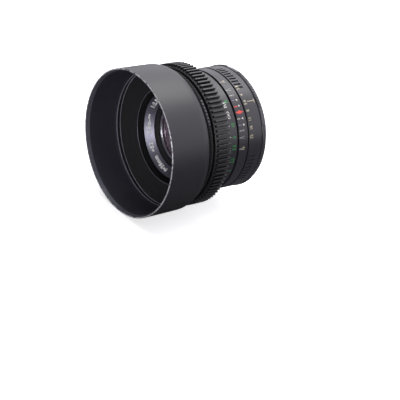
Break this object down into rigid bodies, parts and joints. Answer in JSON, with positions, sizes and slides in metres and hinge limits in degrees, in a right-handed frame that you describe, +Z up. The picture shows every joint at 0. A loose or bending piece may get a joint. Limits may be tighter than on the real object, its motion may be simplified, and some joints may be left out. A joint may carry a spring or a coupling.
{
  "type": "prime camera lens",
  "caption": "Short manual-focus wide-angle lens with a deep round screw-in hood, ribbed focus grip, aperture ring and lockable rear mount.",
  "frame": {"origin": "under the middle of the lens, centred across it, on the surface that the hood's side lies on", "axes": "+Y runs back along the optical axis from the hood to the mount, +Z is up with the lens lying on its side, +X completes the right hand"},
  "size_m": [0.075, 0.0706, 0.075],
  "materials": {
    "hood_black": "satin black paint on turned aluminium, worn bright along the rim",
    "satin_black": "satin black anodised aluminium, machined ribs and knurls",
    "name_silver": "satin anodised aluminium, silver grey",
    "flat_black": "matt black paint that swallows stray light",
    "bare_aluminium": "turned aluminium",
    "black_paint": "black anodised aluminium with filled engraving",
    "glass": "polished optical glass with a violet coating",
    "blade_steel": "blackened spring steel",
    "steel": "turned and ground steel",
    "brass": "turned brass",
    "chrome": "hard chrome plate"
  },
  "bodies": {
    "root": {"main_barrel": "black_paint", "index_ring": "black_paint", "guide_key_1": "brass", "guide_key_2": "brass", "focus_stop_pin": "steel", "click_ball": "steel", "click_spring": "steel", "mount_plate": "chrome", "mount_screw_1": "steel", "mount_screw_2": "steel", "mount_screw_3": "steel", "mount_screw_4": "steel", "mount_pin": "steel", "rear_guard": "black_paint", "rear_baffle": "flat_black"},
    "focus": {"focus_grip": "satin_black", "focus_ring": "black_paint", "outer_helicoid": "brass", "focus_screw_1": "steel", "focus_screw_2": "steel", "focus_screw_3": "steel"},
    "optics": {"filter_ring": "satin_black", "name_ring": "name_silver", "front_cone_ring": "flat_black", "front_retaining_ring": "bare_aluminium", "front_cell": "black_paint", "lens_1": "glass", "lens_2": "glass", "lens_spacer": "flat_black", "lens_3": "glass", "lens_3_retaining_ring": "flat_black", "iris_housing": "black_paint", "iris_cover": "black_paint", "rear_cell": "black_paint", "lens_4": "glass", "lens_5": "glass", "lens_6": "glass", "rear_spacer": "flat_black", "lens_7": "glass", "rear_retaining_ring": "satin_black", "inner_helicoid": "bare_aluminium"},
    "hood": {"hood_shell": "hood_black", "hood_collar": "satin_black"},
    "iris_drive": {"iris_drive_ring": "steel"},
    "aperture": {"aperture_ring": "black_paint", "aperture_fork": "steel"},
    "stop_down": {"stop_down_ring": "steel"},
    "lock": {"lock_ring": "satin_black"},
    "blade_1": {"iris_blade_1": "blade_steel"},
    "blade_2": {"iris_blade_2": "blade_steel"},
    "blade_3": {"iris_blade_3": "blade_steel"},
    "blade_4": {"iris_blade_4": "blade_steel"},
    "blade_5": {"iris_blade_5": "blade_steel"},
    "blade_6": {"iris_blade_6": "blade_steel"}
  },
  "joints": [
    {"name": "focus_turn", "type": "hinge", "parent": "root", "child": "focus", "pos_m": [0, 0, 0.0375], "axis": [0, -1, 0], "range_deg": [0, 120]},
    {"name": "optics_extend", "type": "slide", "parent": "root", "child": "optics", "axis": [0, -1, 0], "range_m": [0, 0.00288]},
    {"name": "hood_removal", "type": "slide", "parent": "optics", "child": "hood", "axis": [0, -1, 0], "range_m": [0, 0.03]},
    {"name": "aperture_turn", "type": "hinge", "parent": "root", "child": "aperture", "pos_m": [0, 0, 0.0375], "axis": [0, -1, 0], "range_deg": [-24, 24]},
    {"name": "iris_drive_turn", "type": "hinge", "parent": "optics", "child": "iris_drive", "pos_m": [0, 0, 0.0375], "axis": [0, -1, 0], "range_deg": [-24.05, 24.05]},
    {"name": "lock_ring_turn", "type": "hinge", "parent": "root", "child": "lock", "pos_m": [0, 0, 0.0375], "axis": [0, -1, 0], "range_deg": [0, 60]},
    {"name": "stop_down_turn", "type": "hinge", "parent": "root", "child": "stop_down", "pos_m": [0, 0, 0.0375], "axis": [0, -1, 0], "range_deg": [0, 15], "stiffness_Nm_per_rad": 0.02, "springref_deg": -2.86},
    {"name": "blade_1_turn", "type": "hinge", "parent": "optics", "child": "blade_1", "pos_m": [0.01615, 0.01225, 0.04035], "axis": [0, -1, 0], "range_deg": [-11.62, 11.62]},
    {"name": "blade_2_turn", "type": "hinge", "parent": "optics", "child": "blade_2", "pos_m": [0.00561, 0.0127, 0.05291], "axis": [0, -1, 0], "range_deg": [-11.62, 11.62]},
    {"name": "blade_3_turn", "type": "hinge", "parent": "optics", "child": "blade_3", "pos_m": [-0.01054, 0.01315, 0.05006], "axis": [0, -1, 0], "range_deg": [-11.62, 11.62]},
    {"name": "blade_4_turn", "type": "hinge", "parent": "optics", "child": "blade_4", "pos_m": [-0.01615, 0.0136, 0.03465], "axis": [0, -1, 0], "range_deg": [-11.62, 11.62]},
    {"name": "blade_5_turn", "type": "hinge", "parent": "optics", "child": "blade_5", "pos_m": [-0.00561, 0.01405, 0.02209], "axis": [0, -1, 0], "range_deg": [-11.62, 11.62]},
    {"name": "blade_6_turn", "type": "hinge", "parent": "optics", "child": "blade_6", "pos_m": [0.01054, 0.0145, 0.02494], "axis": [0, -1, 0], "range_deg": [-11.62, 11.62]}
  ],
  "couplings": [
    {"joint": "optics_extend", "follows": "focus_turn", "m_per_rad": 0.001375},
    {"joint": "iris_drive_turn", "follows": "aperture_turn", "ratio": 1},
    {"joint": "blade_1_turn", "follows": "aperture_turn", "ratio": 0.48368},
    {"joint": "blade_2_turn", "follows": "aperture_turn", "ratio": 0.48368},
    {"joint": "blade_3_turn", "follows": "aperture_turn", "ratio": 0.48368},
    {"joint": "blade_4_turn", "follows": "aperture_turn", "ratio": 0.48368},
    {"joint": "blade_5_turn", "follows": "aperture_turn", "ratio": 0.48368},
    {"joint": "blade_6_turn", "follows": "aperture_turn", "ratio": 0.48368}
  ]
}
